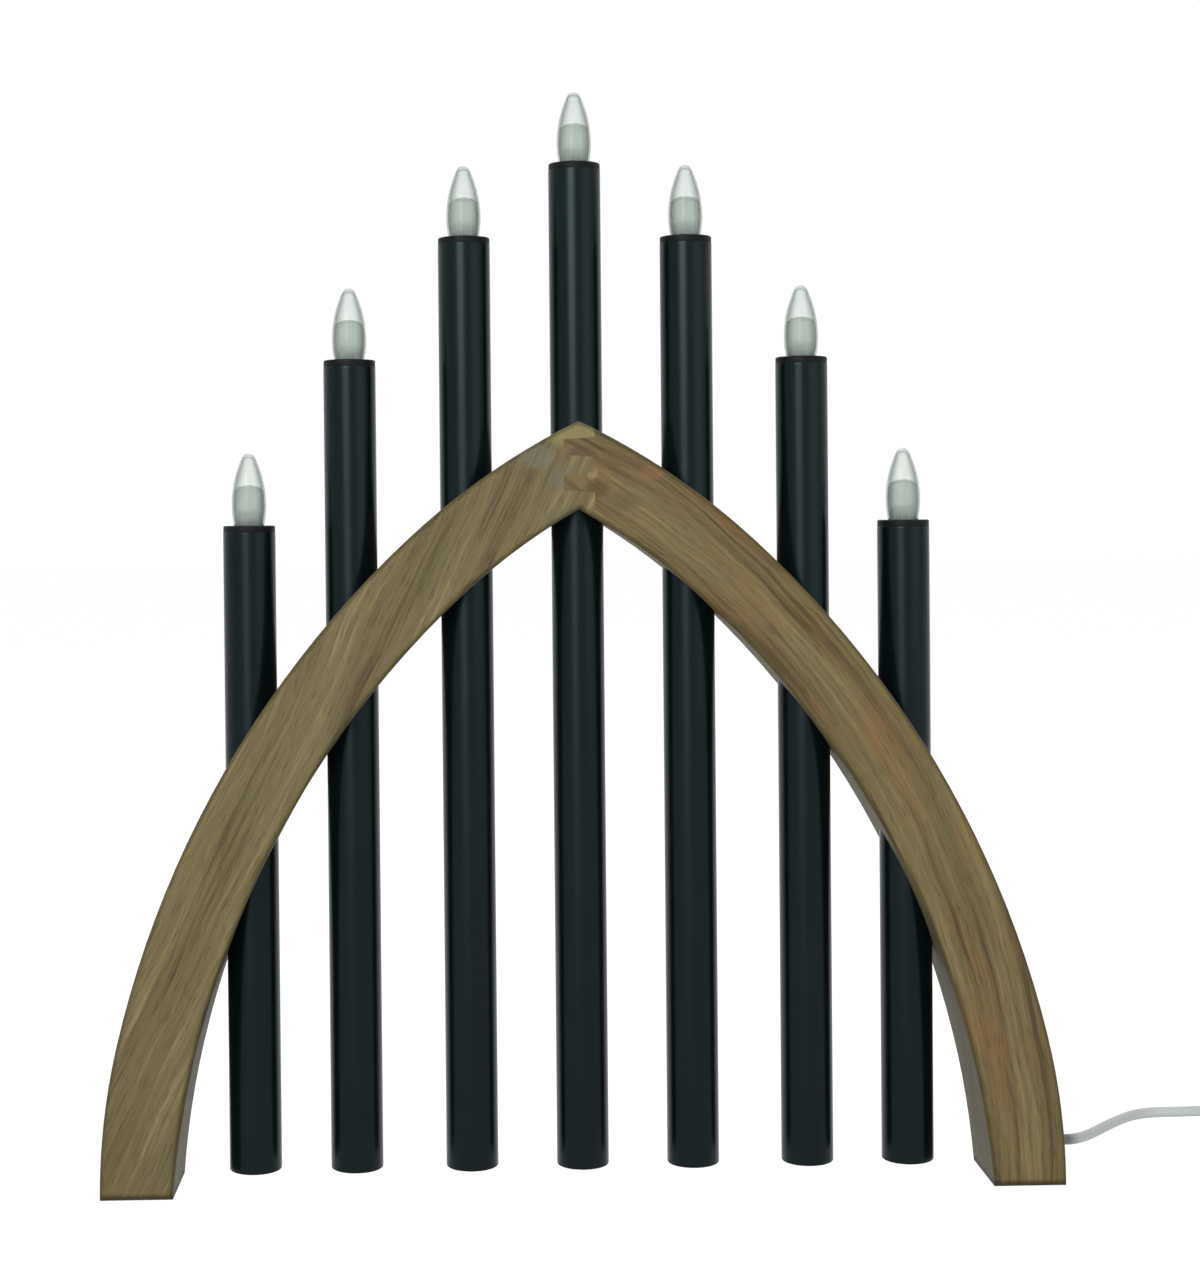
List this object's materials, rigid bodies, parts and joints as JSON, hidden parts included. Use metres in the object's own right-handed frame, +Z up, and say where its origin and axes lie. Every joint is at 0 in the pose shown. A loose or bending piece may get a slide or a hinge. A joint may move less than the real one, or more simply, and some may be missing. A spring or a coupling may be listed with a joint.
{
  "type": "candle arch",
  "caption": "Wooden pointed arch that carries upright electric candles in slim metal tubes, with small screw-in bulbs, hidden wiring and a mains cord with a flat plug.",
  "frame": {"origin": "on the floor under the middle of the arch, at mid-depth", "axes": "+X to the right seen from the front, towards the foot with the cord; +Y to the back; +Z up"},
  "size_m": [0.6596, 0.1375, 0.5036],
  "materials": {
    "oiled_wood": "open-grained, oiled",
    "strip_wood": "open-grained, oiled",
    "black_tube": "satin black-blue paint",
    "end_cap_plastic": "moulded, matt black",
    "holder_plastic": "moulded, satin black",
    "shell_metal": "plain",
    "spring_metal": "plain",
    "lead_insulation": "soft, matt",
    "screw_metal": "zinc plated",
    "clear_lens": "clear, moulded",
    "light_guide": "clear grey",
    "cap_metal": "nickel plated",
    "contact_metal": "solder-tipped",
    "cord_sheath": "smooth, satin, light grey",
    "plug_plastic": "moulded, satin, light grey",
    "pin_metal": "nickel plated"
  },
  "bodies": {
    "root": {"arch_left": "oiled_wood", "arch_right": "oiled_wood", "arch_wiring": "lead_insulation", "candle_tube_1": "black_tube", "candle_tube_2": "black_tube", "candle_tube_3": "black_tube", "candle_tube_4": "black_tube", "candle_tube_5": "black_tube", "candle_tube_6": "black_tube", "candle_tube_7": "black_tube", "cord_coil": "cord_sheath", "cord_grip": "screw_metal", "cord_lead": "cord_sheath", "groove_strip_left": "strip_wood", "groove_strip_right": "strip_wood", "holder_floors": "holder_plastic", "holder_shells": "shell_metal", "holder_springs": "spring_metal", "lamp_holder_1": "holder_plastic", "lamp_holder_2": "holder_plastic", "lamp_holder_3": "holder_plastic", "lamp_holder_4": "holder_plastic", "lamp_holder_5": "holder_plastic", "lamp_holder_6": "holder_plastic", "lamp_holder_7": "holder_plastic", "plug_pins": "pin_metal", "power_plug": "plug_plastic", "tube_end_caps": "end_cap_plastic", "tube_fixing_screws": "screw_metal", "tube_leads": "lead_insulation"},
    "bulb_1": {"bulb_lens_1": "clear_lens", "bulb_led_1": "light_guide", "bulb_cap_1": "cap_metal", "bulb_contact_1": "contact_metal"},
    "bulb_2": {"bulb_lens_2": "clear_lens", "bulb_led_2": "light_guide", "bulb_cap_2": "cap_metal", "bulb_contact_2": "contact_metal"},
    "bulb_3": {"bulb_lens_3": "clear_lens", "bulb_led_3": "light_guide", "bulb_cap_3": "cap_metal", "bulb_contact_3": "contact_metal"},
    "bulb_4": {"bulb_lens_4": "clear_lens", "bulb_led_4": "light_guide", "bulb_cap_4": "cap_metal", "bulb_contact_4": "contact_metal"},
    "bulb_5": {"bulb_lens_5": "clear_lens", "bulb_led_5": "light_guide", "bulb_cap_5": "cap_metal", "bulb_contact_5": "contact_metal"},
    "bulb_6": {"bulb_lens_6": "clear_lens", "bulb_led_6": "light_guide", "bulb_cap_6": "cap_metal", "bulb_contact_6": "contact_metal"},
    "bulb_7": {"bulb_lens_7": "clear_lens", "bulb_led_7": "light_guide", "bulb_cap_7": "cap_metal", "bulb_contact_7": "contact_metal"}
  },
  "joints": [
    {"name": "bulb_1_lift", "type": "slide", "parent": "root", "child": "bulb_1", "axis": [0, 0, 1], "range_m": [0, 0.02]},
    {"name": "bulb_2_lift", "type": "slide", "parent": "root", "child": "bulb_2", "axis": [0, 0, 1], "range_m": [0, 0.02]},
    {"name": "bulb_3_lift", "type": "slide", "parent": "root", "child": "bulb_3", "axis": [0, 0, 1], "range_m": [0, 0.02]},
    {"name": "bulb_4_lift", "type": "slide", "parent": "root", "child": "bulb_4", "axis": [0, 0, 1], "range_m": [0, 0.02]},
    {"name": "bulb_5_lift", "type": "slide", "parent": "root", "child": "bulb_5", "axis": [0, 0, 1], "range_m": [0, 0.02]},
    {"name": "bulb_6_lift", "type": "slide", "parent": "root", "child": "bulb_6", "axis": [0, 0, 1], "range_m": [0, 0.02]},
    {"name": "bulb_7_lift", "type": "slide", "parent": "root", "child": "bulb_7", "axis": [0, 0, 1], "range_m": [0, 0.02]}
  ]
}
